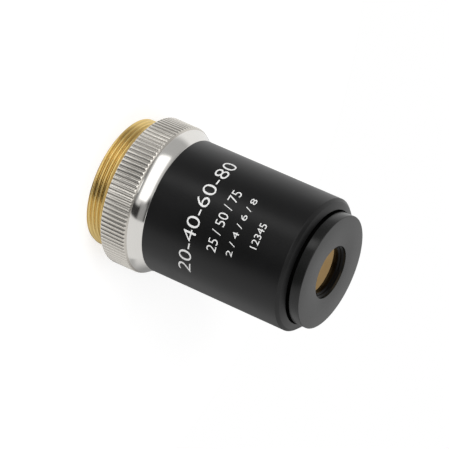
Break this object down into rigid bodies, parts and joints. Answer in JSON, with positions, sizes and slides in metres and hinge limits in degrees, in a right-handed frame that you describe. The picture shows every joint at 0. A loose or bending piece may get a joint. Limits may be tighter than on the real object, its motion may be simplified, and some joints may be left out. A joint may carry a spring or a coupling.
{
  "type": "microscope objective",
  "caption": "Long-working-distance microscope objective: brass mount thread, knurled plated ring and cone, black sleeve, grooved neck and nose cap around a stack of lenses in cells.",
  "frame": {"origin": "where the optical axis crosses the mounting shoulder, the rear face of the knurled ring", "axes": "+Z along the optical axis from the mount thread to the nose; the side with the engraving faces -Y"},
  "size_m": [0.0236, 0.0236, 0.0367],
  "materials": {
    "brass": "turned, bare",
    "nickel_plate": "bright nickel plate on brass",
    "black_anodised": "satin black anodised",
    "black_nose": "matt black anodised",
    "black_cell": "matt black anodised",
    "steel": "plain",
    "coated_glass": "golden anti-reflection coating",
    "glass": "polished"
  },
  "bodies": {
    "root": {"mount_barrel": "brass", "knurled_ring": "nickel_plate", "outer_sleeve": "black_anodised", "lens_tube": "black_cell", "parfocal_shim": "brass", "tube_nut": "black_cell", "nose_cap": "black_nose", "front_retaining_ring": "black_cell", "front_cell": "black_cell", "front_lens": "coated_glass", "cell_a": "black_cell", "retainer_a": "black_cell", "doublet_a_crown": "glass", "doublet_a_flint": "glass", "cell_b": "black_cell", "retainer_b": "black_cell", "doublet_b_flint": "glass", "doublet_b_crown": "glass", "aperture_stop": "black_cell", "rear_spacer": "black_cell", "rear_cell": "black_cell", "rear_retainer": "black_cell", "rear_crown": "glass", "rear_flint": "glass", "stack_lock_ring": "black_cell", "centring_screws": "steel", "barrel_screws": "steel"}
  },
  "joints": []
}
